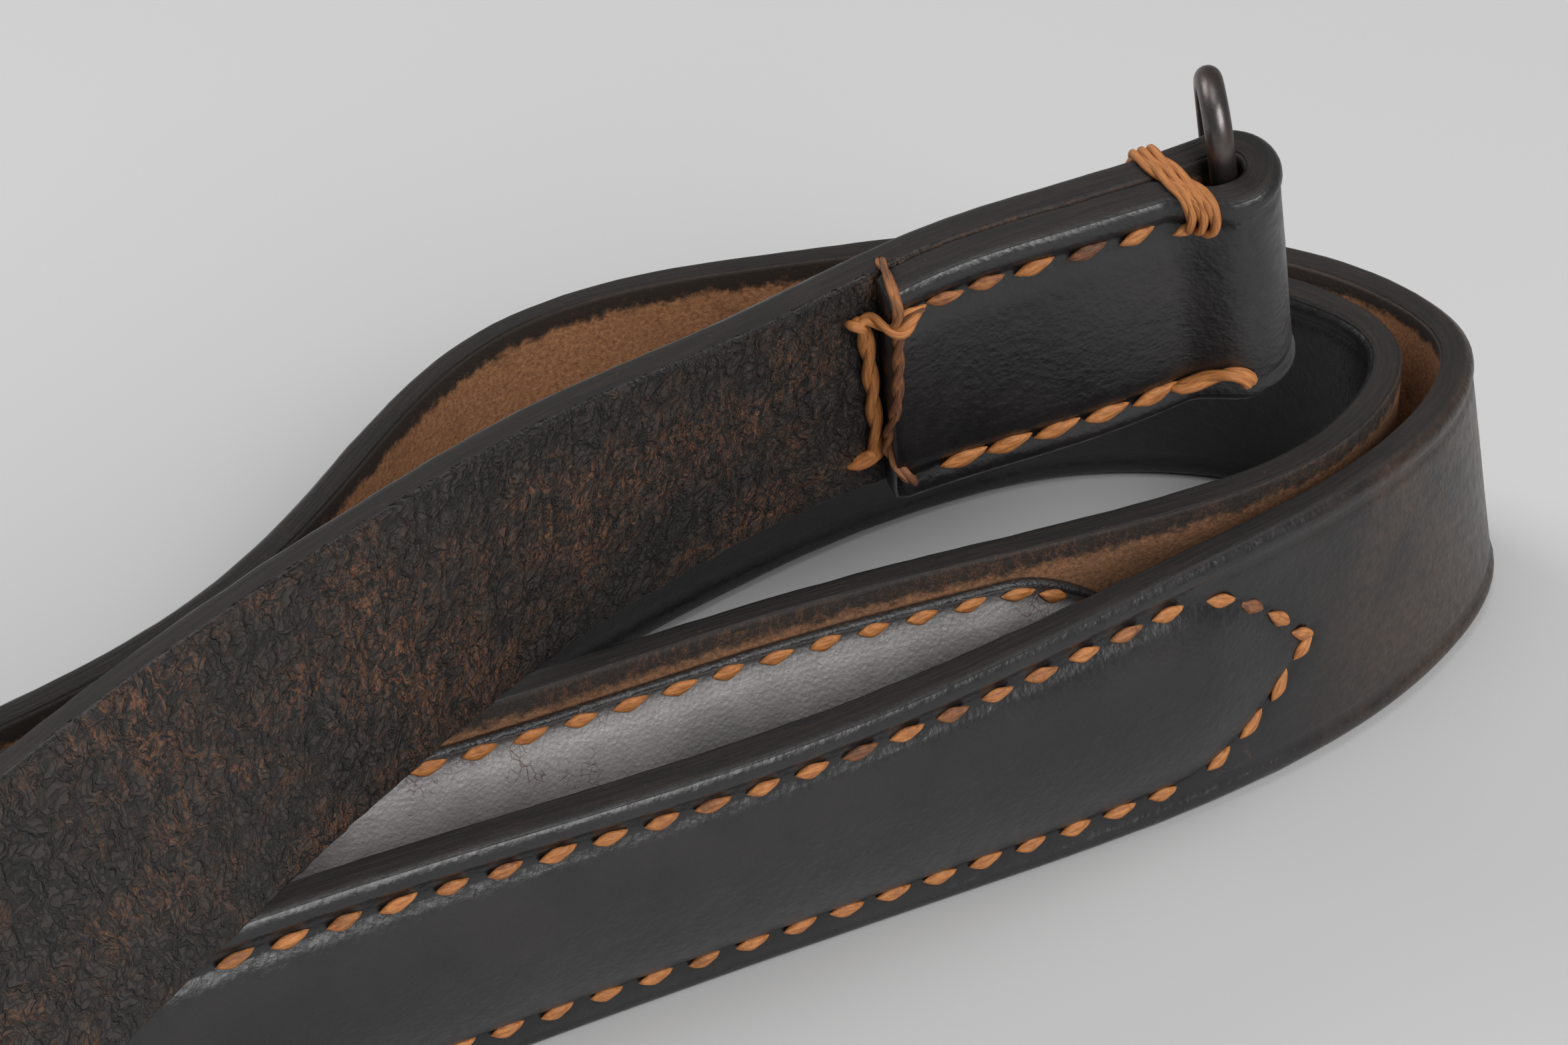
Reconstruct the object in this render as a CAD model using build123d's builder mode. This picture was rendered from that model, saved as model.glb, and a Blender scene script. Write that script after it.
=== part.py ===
from build123d import *
import math
import os

# A leather guitar strap, coiled flat on its edge, with a sewn-on padded middle and a wire ring in
# a folded and stitched eye at each end. Millimetres, +Z up, origin under the middle of the coil.

os.makedirs("parts", exist_ok=True)

# ---- driving dimensions -------------------------------------------------------------------------
strap_width = 25.4
leather_thickness = 2.8
half_leather = leather_thickness / 2
layer_gap = 0.1          # air left between pieces that lie face to face
steps_per_span = 4       # sections between two neighbouring route points

tail_length = 31.3       # folded-back end, from the eye to its cut edge
eye_width = 2.7          # clear width of the eye, across the strap's thickness
eye_length = 4.0         # clear length of the eye, along the strap
tail_blend = 5.0         # length over which the tail comes down from the eye onto the strap
tail_sections = 16
fold_sections = 10

ring_wire_radius = 1.1
ring_leg_spacing = 6.8   # between the middles of the two straight legs
ring_rise = 8.0          # top of the ring above the strap's upper edge, when it is held up
ring_drop = 3.6          # bottom of the ring below the strap's lower edge, when it is held up
ring_slips = {"a": 2.1, "b": 0.0}  # how far each ring has slipped down through its eye
ring_leg_offset = (leather_thickness + eye_width) / 2  # leg in the middle of the eye
ring_turns = {"a": -25.0, "b": 0.0}  # how each ring has fallen about its leg, in degrees

pad_first_span = 31.85   # route parameter at one pointed end of the pad
pad_last_span = 50.7     # and at the other one
pad_point_length = 14.0
point_curve = 1.7        # exponent of the pointed arch: higher is blunter
narrowest_share = 0.06   # width left at the very tip
lining_width = 20.0
lining_thickness = 1.2
lining_slope = 0.8       # width of the slope from the raised middle down to the flange
filler_width = 12.4
filler_thickness = 2.0
filler_start = 5.0       # from the pad's tip to where the filler begins to swell
filler_taper = 11.0      # length over which it swells
thinnest_share = 0.08

stitch_length = 2.4
stitch_pitch = 4.3
stitch_width = 1.1
stitch_height = 0.5
stitch_inset = 3.1       # stitch row from the strap's edge
pad_row_inset = 3.4      # pad stitch row from the strap's edge
end_stitches = 7         # in each row at an end
end_row_start = 4.6      # from the fold to the first of them
end_stitch_pitch = 4.1
point_stitches = (3.0, 6.0, 9.5)  # from the pad's tip, along each side of it
point_stitch_margin = 1.0
bar_width = 1.6          # heavier thread of the cross bars and edge wraps
bar_height = 0.9
wrap_distance = 4.2      # from the fold to the edge wrap
wrap_width = 2.0
wrap_depth = 2.3         # how far the wrap comes down each face

# ---- route of the strap's lower edge ------------------------------------------------------------
# Control points of one uniform cubic B-spline: x, y, height of the lower edge, and the lean of the
# strap in degrees (positive when its upper edge leans to the flesh side). End A comes first.
first_end = [(36.4, -18, 35.3, 12), (27, -18.5, 32.5, 9), (17.5, -17.5, 30.5, 9), (7.5, -15, 28.5, 10)]
over_the_coil = [
    (-3.5, -14, 27, 12), (-17, -16.5, 26, 11), (-32, -22.5, 26.5, 7), (-47.5, -32, 27.5, 0),
    (-63, -41, 26, -8), (-77.5, -48.5, 22.5, -14), (-92, -56, 17, -16),
]
outer_left_turn = [
    (-106, -60.5, 10, -14), (-120, -58, 4, -10), (-131, -48.5, 0.5, -4), (-135, -35, 0, 0),
    (-127, -23, 0, 0), (-112, -19, 0, 0), (-96, -19.5, 0, 0),
]
second_pass = [
    (-79.5, -18.5, 0, 0), (-63, -13.5, 0, 1), (-44.5, -6.5, 0, 4), (-27, 0.5, 0, 5),
    (-8.5, 7, 0, 3), (9, 11, 0, 0), (26, 12.5, 0, -2),
]
inner_right_turn = [
    (38.5, 10, 0, -5), (48, 4.5, 0, -8), (54.5, -2, 0, -10), (56, -9, 0, -8),
    (53.5, -16, 0, -3), (45.5, -21, 0, 1),
]
third_pass = [
    (35, -24.5, 0, 3), (20.5, -25.5, 0, 1), (4.5, -25, 0, -1), (-12.5, -24.5, 0, -2),
    (-29.5, -24.5, 0, 0), (-46, -24.5, 0, 0), (-62, -25, 0, 0), (-78, -25, 0, 0), (-93, -24, 0, 0),
]
inner_left_turn = [(-107, -24, 0, 0), (-116, -33, 0, 0), (-108, -43, 0, 0)]
fourth_pass = [
    (-93, -43, 0, 0), (-78, -40.5, 0, 0), (-62, -38.5, 0, -2), (-44.5, -37, 0, -5),
    (-27, -36.5, 0, -7), (-9, -36, 0, -6), (8.5, -36, 0, 1), (24.5, -35.5, 0, 7), (39, -33, 0, 8),
]
outer_right_turn = [
    (51.5, -28, 0, 8), (60.5, -22, 0, 11), (64.5, -14.5, 0, 12), (62, -5.5, 0, 10),
    (55.5, 3.5, 0, 7), (43, 12.5, 0, 4),
]
fifth_pass = [
    (27.5, 17.5, 0, 1), (10.5, 20.5, 0, -1), (-4.5, 22, 0, -4), (-18, 20, 0, -6),
    (-30, 13, 0, -3), (-41.5, 4.5, 0, 1), (-54, -4.5, 0, 2), (-69, -10.5, 0, 0), (-86, -14, 0, 0),
]
last_end = [
    (-104, -14.5, 0, 0), (-122, -11.5, 0.5, 0), (-140, -9, 2, 0), (-158, -8.5, 3.5, 0),
    (-176, -9.5, 5, 0),
]
route = (first_end + over_the_coil + outer_left_turn + second_pass + inner_right_turn + third_pass
         + inner_left_turn + fourth_pass + outer_right_turn + fifth_pass + last_end)
coil_middle_x = -55.4    # the route is shifted by this much, so that the origin is under the middle
coil_middle_y = -18.1
last_span = len(route) - 1


def route_point(span):
    """Place and lean on the route at a span parameter from 0 to last_span."""
    first = [2 * a - b for a, b in zip(route[0], route[1])]
    last = [2 * a - b for a, b in zip(route[-1], route[-2])]
    points = [first] + route + [last]
    index = min(int(span), last_span - 1)
    t = span - index
    weights = (
        (1 - t) ** 3 / 6,
        (3 * t ** 3 - 6 * t ** 2 + 4) / 6,
        (-3 * t ** 3 + 3 * t ** 2 + 3 * t + 1) / 6,
        t ** 3 / 6,
    )
    x, y, z, lean = (sum(w * p[k] for w, p in zip(weights, points[index:index + 4])) for k in range(4))
    return Vector(x - coil_middle_x, y - coil_middle_y, z), lean


def strap_axes(span):
    """Foot point, direction of travel, direction up the strap's width, direction to its flesh side."""
    step = 0.01
    start, _ = route_point(max(span - step, 0))
    end, _ = route_point(min(span + step, last_span))
    foot, lean = route_point(span)
    along = (end - start).normalized()
    sideways = Vector(-along.Y, along.X, 0).normalized()
    upright = along.cross(sideways)
    angle = math.radians(lean)
    up = upright * math.cos(angle) + sideways * math.sin(angle)
    flesh = up.cross(along)
    lift = half_leather * abs(math.sin(angle))
    return foot + Vector(0, 0, lift), along, up, flesh


def section_plane(span, toward_flesh=0.0, height=0.0):
    """Plane across the strap: x toward the flesh side, y up the width."""
    foot, along, up, flesh = strap_axes(span)
    origin = foot + flesh * toward_flesh + up * height
    return Plane(origin=origin, x_dir=flesh, z_dir=along)


def span_after(span, distance):
    """Route parameter a distance further along the strap (a negative distance goes back)."""
    step = math.copysign(0.02, distance)
    here, _ = route_point(span)
    left = abs(distance)
    while left > 0:
        span += step
        there, _ = route_point(span)
        left -= (there - here).length
        here = there
    return span


def steps(start, end, count):
    """Evenly spaced values from start to end, both included."""
    return [start + (end - start) * i / count for i in range(count + 1)]


def ease(t):
    """Smooth rise from 0 to 1."""
    t = min(max(t, 0.0), 1.0)
    return t * t * (3 - 2 * t)


# ---- the two folded ends ------------------------------------------------------------------------
# An end is its route parameter at the middle of the fold and the way the strap leaves it: +1 when
# the route goes away from the fold, -1 when the route arrives there.
fold_radius = (leather_thickness + eye_width) / 2
fold_reach = fold_radius + half_leather
ends = {
    "a": (span_after(0.0, fold_reach), 1),
    "b": (span_after(last_span, -fold_reach), -1),
}


def tail_offset(distance):
    """Middle of the tail layer above the strap's middle layer, at a distance from the fold."""
    straight = eye_length - eye_width
    closed = leather_thickness + layer_gap
    return closed + (2 * fold_radius - closed) * (1 - ease((distance - straight) / tail_blend))


def fold_plane(span, way, turn):
    """Section plane on the fold; turn runs from 0 at the tail to 180 degrees at the strap."""
    foot, along, up, flesh = strap_axes(span)
    along = along * way
    angle = math.radians(turn)
    reach = fold_radius * math.sin(angle)
    rise = fold_radius * (1 + math.cos(angle))
    inward = along * math.sin(angle) - flesh * math.cos(angle)
    return Plane(origin=foot - along * reach + flesh * rise, x_dir=inward, z_dir=inward.cross(up))


def end_planes(end):
    """Section planes from the tail's cut edge, round the fold, to just before the strap itself."""
    span, way = ends[end]
    planes = []
    for distance in steps(tail_length, 0.0, tail_sections)[:-1]:
        foot, along, up, flesh = strap_axes(span_after(span, way * distance) if distance else span)
        origin = foot + flesh * tail_offset(distance)
        planes.append(Plane(origin=origin, x_dir=-flesh, z_dir=(-flesh).cross(up)))
    for turn in steps(0.0, 180.0, fold_sections)[:-1]:
        planes.append(fold_plane(span, way, turn))
    return planes


def strap_section(plane):
    """The strap's rectangle on a section plane, its lower edge on the plane's x axis."""
    with BuildSketch(plane) as section:
        with Locations((0, strap_width / 2)):
            Rectangle(leather_thickness, strap_width)
    return section.sketch


# ---- strap --------------------------------------------------------------------------------------
first_fold, _ = ends["a"]
last_fold, _ = ends["b"]
strap_steps = round((last_fold - first_fold) * steps_per_span)
strap_planes = [section_plane(span) for span in steps(first_fold, last_fold, strap_steps)]
far_planes = [
    Plane(origin=p.origin, x_dir=p.x_dir, z_dir=p.x_dir.cross(p.y_dir)) for p in end_planes("b")[::-1]
]
all_planes = end_planes("a") + strap_planes + far_planes

with BuildPart() as strap:
    for plane in all_planes:
        add(strap_section(plane))
    loft(ruled=True)
strap.part.label = "strap"
export_step(strap.part, "parts/strap.step")

# ---- padded middle: filler and lining on the flesh side -----------------------------------------
# Distances along the pad are measured from its first point. The route is read once into a list of
# parameters, one each pad_step, so that stitches can be spaced evenly along it.
pad_step = 0.5
middle = strap_width / 2
pad_base = half_leather + layer_gap
pad_spans = [pad_first_span]
while pad_spans[-1] < pad_last_span:
    pad_spans.append(span_after(pad_spans[-1], pad_step))
pad_length = pad_step * (len(pad_spans) - 1)


def pad_span(distance):
    """Route parameter at a distance from the pad's first point."""
    return pad_spans[min(round(distance / pad_step), len(pad_spans) - 1)]


def point_share(distance, margin=0.0):
    """Share of the pad's full width at a distance along it: a pointed arch at both ends."""
    from_point = min(distance, pad_length - distance) - margin
    if from_point >= pad_point_length:
        return 1.0
    return max(1 - (1 - from_point / pad_point_length) ** point_curve, narrowest_share)


def filler_share(distance):
    """Share of the filler's size at a distance along the pad."""
    from_point = min(distance, pad_length - distance)
    return max(ease((from_point - filler_start) / filler_taper), thinnest_share)


def outline_sketch(plane, corners):
    """A closed straight-sided outline on a section plane."""
    with BuildSketch(plane) as outline:
        with BuildLine():
            Polyline(*corners, close=True)
        make_face()
    return outline.sketch


cavity_limit = 0.7       # most that the filler's space takes of the lining's width
shoulder_limit = 0.92    # most that the raised middle takes, down to where its slope ends
crown_share = 0.8        # width of the raised middle's top, as a share of the space below it


def lining_corners(distance):
    """Hat-shaped outline of the lining: two flat flanges and a raised middle over the filler."""
    flange = lining_width / 2 * point_share(distance)
    share = filler_share(distance)
    inner = min(filler_width / 2 * share + layer_gap, flange * cavity_limit)
    depth = filler_thickness * share + layer_gap
    shoulder = min(inner + lining_thickness + lining_slope, flange * shoulder_limit)
    top = pad_base + depth + lining_thickness
    step_up = pad_base + lining_thickness
    upper = [
        (pad_base, middle + inner), (pad_base, middle + flange), (step_up, middle + flange),
        (step_up, middle + shoulder), (top, middle + inner * crown_share),
    ]
    lower = [(x, 2 * middle - y) for x, y in reversed(upper)]
    cavity = [(pad_base + depth, middle - inner), (pad_base + depth, middle + inner)]
    return upper + lower + cavity


pad_sections = round((pad_last_span - pad_first_span) * steps_per_span)
lining_distances = steps(0.0, pad_length, pad_sections)
with BuildPart() as pad_lining:
    for distance in lining_distances:
        add(outline_sketch(section_plane(pad_span(distance)), lining_corners(distance)))
    loft(ruled=True)
pad_lining.part.label = "pad_lining"
export_step(pad_lining.part, "parts/pad_lining.step")

filler_margin = 7.0
with BuildPart() as pad_filler:
    for distance in lining_distances:
        if filler_margin < distance < pad_length - filler_margin:
            share = filler_share(distance)
            thickness = filler_thickness * share - layer_gap
            width = (filler_width / 2 * share - layer_gap) * 2
            with BuildSketch(section_plane(pad_span(distance))):
                with Locations((pad_base + layer_gap + thickness / 2, middle)):
                    Rectangle(thickness, width)
    loft(ruled=True)
pad_filler.part.label = "pad_filler"
export_step(pad_filler.part, "parts/pad_filler.step")


# ---- stitching ----------------------------------------------------------------------------------
def stitch_place(span, offset, height, tilt=0.0):
    """Place of a stitch: x along the strap, y up its width, z out of its face (offset from the
    strap's middle layer, negative on the grain side), turned by a tilt in degrees."""
    foot, along, up, flesh = strap_axes(span)
    outward = flesh if offset > 0 else -flesh
    origin = foot + flesh * offset + up * height
    angle = math.radians(tilt)
    lengthwise = along * math.cos(angle) + up * math.sin(angle)
    return Plane(origin=origin, x_dir=lengthwise, z_dir=outward).location


stitch_clearance = 0.2
lining_clearance = 0.45  # more, because the lining is on the inside of a tight turn
grain_face = -half_leather - stitch_clearance - stitch_height / 2
lining_face = pad_base + lining_thickness + lining_clearance + stitch_height / 2


def pad_row(side):
    """Stitches of one straight pad row, side +1 for the upper and -1 for the lower row."""
    height = middle + side * (middle - pad_row_inset)
    count = int((pad_length - 2 * pad_point_length) / stitch_pitch)
    places = []
    for i in range(count + 1):
        span = pad_span(pad_point_length + i * stitch_pitch)
        places.append(stitch_place(span, grain_face, height))
        places.append(stitch_place(span, lining_face, height))
    return places


def pad_point(start, way):
    """Stitches along both sides of one pointed end, from its tip to the straight rows."""
    places = []
    row_half = middle - pad_row_inset
    for distance in point_stitches:
        half = row_half * point_share(distance, point_stitch_margin)
        wider = row_half * point_share(distance + 1, point_stitch_margin)
        tilt = math.degrees(math.atan(wider - half)) * way
        span = pad_span(start + way * distance)
        for side in (1, -1):
            height = middle + side * half
            places.append(stitch_place(span, grain_face, height, side * tilt))
            places.append(stitch_place(span, lining_face, height, side * tilt))
    return places


def end_row(end, side):
    """Stitches of one row through strap and tail at an end."""
    span, way = ends[end]
    height = middle + side * (middle - stitch_inset)
    places = []
    for i in range(end_stitches):
        distance = end_row_start + i * end_stitch_pitch
        here = span_after(span, way * distance)
        tail_face = tail_offset(distance - stitch_length / 2) + half_leather + stitch_clearance
        places.append(stitch_place(here, grain_face, height))
        places.append(stitch_place(here, tail_face + stitch_height / 2, height))
    return places


stitch_rows = {
    "pad_stitching_upper": pad_row(1),
    "pad_stitching_lower": pad_row(-1),
    "pad_stitching_first_point": pad_point(0.0, 1),
    "pad_stitching_last_point": pad_point(pad_length, -1),
}
for end in ends:
    stitch_rows[f"end_{end}_stitching_upper"] = end_row(end, 1)
    stitch_rows[f"end_{end}_stitching_lower"] = end_row(end, -1)

for row_name, row_places in stitch_rows.items():
    with BuildPart() as stitching:
        with Locations(*row_places):
            Box(stitch_length, stitch_width, stitch_height)
    stitching.part.label = row_name
    export_step(stitching.part, f"parts/{row_name}.step")

# ---- heavier thread at the ends, and the rings --------------------------------------------------
bar_inset = 2.6
leg_distance = 0.1       # leg of the ring from the middle of the fold, along the strap

for end, (fold_span, way) in ends.items():
    bar_span = span_after(fold_span, way * (tail_length + bar_width))
    bar_offset = half_leather + stitch_clearance + bar_height / 2
    with BuildPart() as cross_bar:
        with Locations(stitch_place(bar_span, bar_offset, middle)):
            Box(bar_width, strap_width - 2 * bar_inset, bar_height)
    cross_bar.part.label = f"end_{end}_cross_bar"
    export_step(cross_bar.part, f"parts/end_{end}_cross_bar.step")

    wrap_plane = section_plane(span_after(fold_span, way * wrap_distance))
    inside_near = -half_leather - stitch_clearance
    inside_far = tail_offset(wrap_distance - wrap_width / 2) + half_leather + stitch_clearance
    inside_top = strap_width + layer_gap
    with BuildPart() as edge_wrap:
        with BuildSketch(wrap_plane):
            with BuildLine():
                Polyline(
                    (inside_near, inside_top - wrap_depth), (inside_near, inside_top),
                    (inside_far, inside_top), (inside_far, inside_top - wrap_depth),
                    (inside_far + bar_height, inside_top - wrap_depth),
                    (inside_far + bar_height, inside_top + bar_height),
                    (inside_near - bar_height, inside_top + bar_height),
                    (inside_near - bar_height, inside_top - wrap_depth),
                    close=True,
                )
            make_face()
        extrude(amount=wrap_width / 2, both=True)
    edge_wrap.part.label = f"end_{end}_edge_wrap"
    export_step(edge_wrap.part, f"parts/end_{end}_edge_wrap.step")

    # The ring's plane has its origin at the foot of the leg in the eye, and its x axis points from
    # the other leg to this one.
    fold_section = section_plane(fold_span)
    leg_foot = (
        fold_section.origin
        + fold_section.z_dir * way * leg_distance
        + fold_section.x_dir * ring_leg_offset
    )
    across = fold_section.x_dir.rotate(Axis((0, 0, 0), fold_section.y_dir), ring_turns[end])
    ring_plane = Plane(origin=leg_foot, x_dir=across, z_dir=across.cross(fold_section.y_dir))
    arch_radius = ring_leg_spacing / 2
    near_leg = 0
    far_leg = -ring_leg_spacing
    arch_middle = (near_leg + far_leg) / 2
    low = -ring_drop - ring_slips[end] + ring_wire_radius + arch_radius
    high = strap_width + ring_rise - ring_slips[end] - ring_wire_radius - arch_radius
    with BuildPart() as ring:
        with BuildLine(ring_plane) as ring_line:
            Line((near_leg, low), (near_leg, high))
            ThreePointArc((near_leg, high), (arch_middle, high + arch_radius), (far_leg, high))
            Line((far_leg, high), (far_leg, low))
            ThreePointArc((far_leg, low), (arch_middle, low - arch_radius), (near_leg, low))
        with BuildSketch(Plane(origin=ring_line.line @ 0, z_dir=ring_plane.y_dir)):
            Circle(ring_wire_radius)
        sweep()
    ring.part.label = f"ring_{end}"
    export_step(ring.part, f"parts/ring_{end}.step")
    # The ring turns about this leg.
    print("ring", end, "axis", ring_plane.from_local_coords((near_leg, middle, 0)), ring_plane.y_dir)
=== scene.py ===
import math

import bmesh
import bpy
import numpy as np
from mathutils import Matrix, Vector, noise


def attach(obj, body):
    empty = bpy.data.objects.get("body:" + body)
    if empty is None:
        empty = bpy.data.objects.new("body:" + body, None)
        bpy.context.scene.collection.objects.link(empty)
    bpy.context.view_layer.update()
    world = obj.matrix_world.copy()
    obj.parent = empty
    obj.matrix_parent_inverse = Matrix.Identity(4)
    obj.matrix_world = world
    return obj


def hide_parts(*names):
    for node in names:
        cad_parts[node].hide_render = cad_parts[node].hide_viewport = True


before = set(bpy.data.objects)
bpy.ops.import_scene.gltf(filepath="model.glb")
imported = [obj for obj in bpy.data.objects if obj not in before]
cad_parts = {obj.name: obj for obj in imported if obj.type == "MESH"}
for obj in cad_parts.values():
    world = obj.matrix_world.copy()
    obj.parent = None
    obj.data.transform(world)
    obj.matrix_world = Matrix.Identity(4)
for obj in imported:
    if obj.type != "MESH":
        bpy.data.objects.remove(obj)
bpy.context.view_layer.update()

# A leather guitar strap coiled on its edge: leather, lining, filler, thread and rings around the
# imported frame. Lengths are in millimetres up to new_piece(), which turns them into metres.
MM = 0.001
rng = np.random.default_rng(11)

# ---- sizes, as in the CAD part ------------------------------------------------------------------
strap_width = 25.4
middle = strap_width / 2
half_leather = 1.4
layer_gap = 0.1
tail_length = 31.3
eye_width = 2.7
eye_length = 4.0
tail_blend = 5.0
fold_radius = half_leather + eye_width / 2
fold_reach = fold_radius + half_leather
pad_first_span = 31.85
pad_last_span = 50.7
pad_point_length = 14.0
lining_half = 10.0
lining_thickness = 1.2
filler_half = 6.2
stitch_pitch = 4.3
end_row_start = 4.6
end_stitch_pitch = 4.1
end_stitch_count = 7
stitch_inset = 3.1
pad_row_inset = 3.4

# ---- sizes of what only the visual model shows ------------------------------------------------------
grain_bulge = 1.8        # rise of the leather over the filler
lining_bulge = 1.9       # rise of the lining over the filler
bulge_start = 2.0        # from the pad's point to where the filler begins to lift it
bulge_ramp = 12.0
thread_seat = 0.08       # how far a pad stitch lies below the grain face
pad_stitch_length = 3.0
pad_stitch_width = 1.25
lining_stitch_width = 1.2
tail_upper_stitch = (3.2, 1.2)   # length and width
tail_lower_stitch = (4.3, 1.45)
back_stitch = (2.7, 1.1)
stitch_flatness = 0.62   # depth of a stitch as a share of its width
painted_shade_width = 0.6      # width of the painted shade along the channel a row of stitches lies in
bar_top = strap_width - 3.4
bar_low = 3.2
ply_count = 2
ply_sides = 8
floor_reach = 3.0        # metres
camera_distance = 0.3235  # metres

# ---- route of the strap's lower edge: x, y, height and lean, as in the CAD part --------------------
first_end = [(36.4, -18, 35.3, 12), (27, -18.5, 32.5, 9), (17.5, -17.5, 30.5, 9), (7.5, -15, 28.5, 10)]
over_the_coil = [
    (-3.5, -14, 27, 12), (-17, -16.5, 26, 11), (-32, -22.5, 26.5, 7), (-47.5, -32, 27.5, 0),
    (-63, -41, 26, -8), (-77.5, -48.5, 22.5, -14), (-92, -56, 17, -16),
]
outer_left_turn = [
    (-106, -60.5, 10, -14), (-120, -58, 4, -10), (-131, -48.5, 0.5, -4), (-135, -35, 0, 0),
    (-127, -23, 0, 0), (-112, -19, 0, 0), (-96, -19.5, 0, 0),
]
second_pass = [
    (-79.5, -18.5, 0, 0), (-63, -13.5, 0, 1), (-44.5, -6.5, 0, 4), (-27, 0.5, 0, 5),
    (-8.5, 7, 0, 3), (9, 11, 0, 0), (26, 12.5, 0, -2),
]
inner_right_turn = [
    (38.5, 10, 0, -5), (48, 4.5, 0, -8), (54.5, -2, 0, -10), (56, -9, 0, -8),
    (53.5, -16, 0, -3), (45.5, -21, 0, 1),
]
third_pass = [
    (35, -24.5, 0, 3), (20.5, -25.5, 0, 1), (4.5, -25, 0, -1), (-12.5, -24.5, 0, -2),
    (-29.5, -24.5, 0, 0), (-46, -24.5, 0, 0), (-62, -25, 0, 0), (-78, -25, 0, 0), (-93, -24, 0, 0),
]
inner_left_turn = [(-107, -24, 0, 0), (-116, -33, 0, 0), (-108, -43, 0, 0)]
fourth_pass = [
    (-93, -43, 0, 0), (-78, -40.5, 0, 0), (-62, -38.5, 0, -2), (-44.5, -37, 0, -5),
    (-27, -36.5, 0, -7), (-9, -36, 0, -6), (8.5, -36, 0, 1), (24.5, -35.5, 0, 7), (39, -33, 0, 8),
]
outer_right_turn = [
    (51.5, -28, 0, 8), (60.5, -22, 0, 11), (64.5, -14.5, 0, 12), (62, -5.5, 0, 10),
    (55.5, 3.5, 0, 7), (43, 12.5, 0, 4),
]
fifth_pass = [
    (27.5, 17.5, 0, 1), (10.5, 20.5, 0, -1), (-4.5, 22, 0, -4), (-18, 20, 0, -6),
    (-30, 13, 0, -3), (-41.5, 4.5, 0, 1), (-54, -4.5, 0, 2), (-69, -10.5, 0, 0), (-86, -14, 0, 0),
]
last_end = [
    (-104, -14.5, 0, 0), (-122, -11.5, 0.5, 0), (-140, -9, 2, 0), (-158, -8.5, 3.5, 0),
    (-176, -9.5, 5, 0),
]
route = np.array(
    first_end + over_the_coil + outer_left_turn + second_pass + inner_right_turn + third_pass
    + inner_left_turn + fourth_pass + outer_right_turn + fifth_pass + last_end, float
)
route[:, 0] += 55.4
route[:, 1] += 18.1
last_span = len(route) - 1
control = np.vstack([2 * route[0] - route[1], route, 2 * route[-1] - route[-2]])


def route_points(spans):
    """Places and leans on the route at an array of span parameters."""
    spans = np.asarray(spans, float)
    index = np.clip(spans.astype(int), 0, last_span - 1)
    t = spans - index
    weights = (
        (1 - t) ** 3 / 6,
        (3 * t ** 3 - 6 * t ** 2 + 4) / 6,
        (-3 * t ** 3 + 3 * t ** 2 + 3 * t + 1) / 6,
        t ** 3 / 6,
    )
    mixed = sum(w[:, None] * control[index + k] for k, w in enumerate(weights))
    return mixed[:, :3], mixed[:, 3]


def unit(vectors):
    return vectors / np.linalg.norm(vectors, axis=-1, keepdims=True)


def strap_axes(spans):
    """Foot points, directions of travel, up the strap's width, and to its flesh side."""
    spans = np.atleast_1d(np.asarray(spans, float))
    step = 0.01
    foot, lean = route_points(spans)
    ahead = route_points(np.minimum(spans + step, last_span))[0]
    behind = route_points(np.maximum(spans - step, 0))[0]
    along = unit(ahead - behind)
    sideways = unit(np.stack([-along[:, 1], along[:, 0], 0 * lean], axis=1))
    upright = np.cross(along, sideways)
    angle = np.radians(lean)[:, None]
    up = upright * np.cos(angle) + sideways * np.sin(angle)
    flesh = np.cross(up, along)
    foot[:, 2] += half_leather * np.abs(np.sin(angle[:, 0]))
    return foot, along, up, flesh


fine_spans = np.linspace(0, last_span, last_span * 100 + 1)
fine_steps = np.linalg.norm(np.diff(route_points(fine_spans)[0], axis=0), axis=1)
fine_lengths = np.concatenate([[0.0], np.cumsum(fine_steps)])


def length_at(span):
    return float(np.interp(span, fine_spans, fine_lengths))


def axes_at(lengths):
    """strap_axes at lengths along the route."""
    return strap_axes(np.interp(np.atleast_1d(lengths), fine_lengths, fine_spans))


def ease(t):
    t = np.clip(t, 0.0, 1.0)
    return t * t * (3 - 2 * t)


def hill(distance, width):
    """A smooth bump of height 1 about distance 0."""
    return np.exp(-(distance / width) ** 2)


# An end is the route length at the middle of its fold and the way the strap leaves it.
ends = {"a": (fold_reach, 1), "b": (float(fine_lengths[-1]) - fold_reach, -1)}
pad_start = length_at(pad_first_span)
pad_end = length_at(pad_last_span)
pad_length = pad_end - pad_start


def tail_offset(distance):
    closed = 2 * half_leather + layer_gap
    straight = eye_length - eye_width
    return closed + (2 * fold_radius - closed) * (1 - ease((distance - straight) / tail_blend))


def point_share(distance, margin=0.0):
    """Share of the pad's full width at a distance from its first point."""
    near = np.minimum(distance, pad_length - distance) - margin
    share = 1 - (1 - np.clip(near / pad_point_length, 0, 1)) ** 1.7
    return np.maximum(share, 0.06)


def pad_row_half(distance):
    """Height of the pad's stitch rows from the strap's middle."""
    return (middle - pad_row_inset) * point_share(distance, 1.0)


# ---- mesh helpers -------------------------------------------------------------------------------
def new_piece(name, points, faces, material, body="strap", stands_for=()):
    """A smooth closed mesh from points in millimetres, riding on a CAD body."""
    mesh = bpy.data.meshes.new(name)
    mesh.from_pydata((np.asarray(points) * MM).tolist(), [], [list(map(int, f)) for f in faces])
    work = bmesh.new()
    work.from_mesh(mesh)
    bmesh.ops.recalc_face_normals(work, faces=work.faces)
    work.to_mesh(mesh)
    work.free()
    mesh.shade_smooth()
    mesh.materials.append(material)
    piece = bpy.data.objects.new(name, mesh)
    bpy.context.scene.collection.objects.link(piece)
    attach(piece, body)
    if stands_for:
        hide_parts(*stands_for)
    return piece


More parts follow.
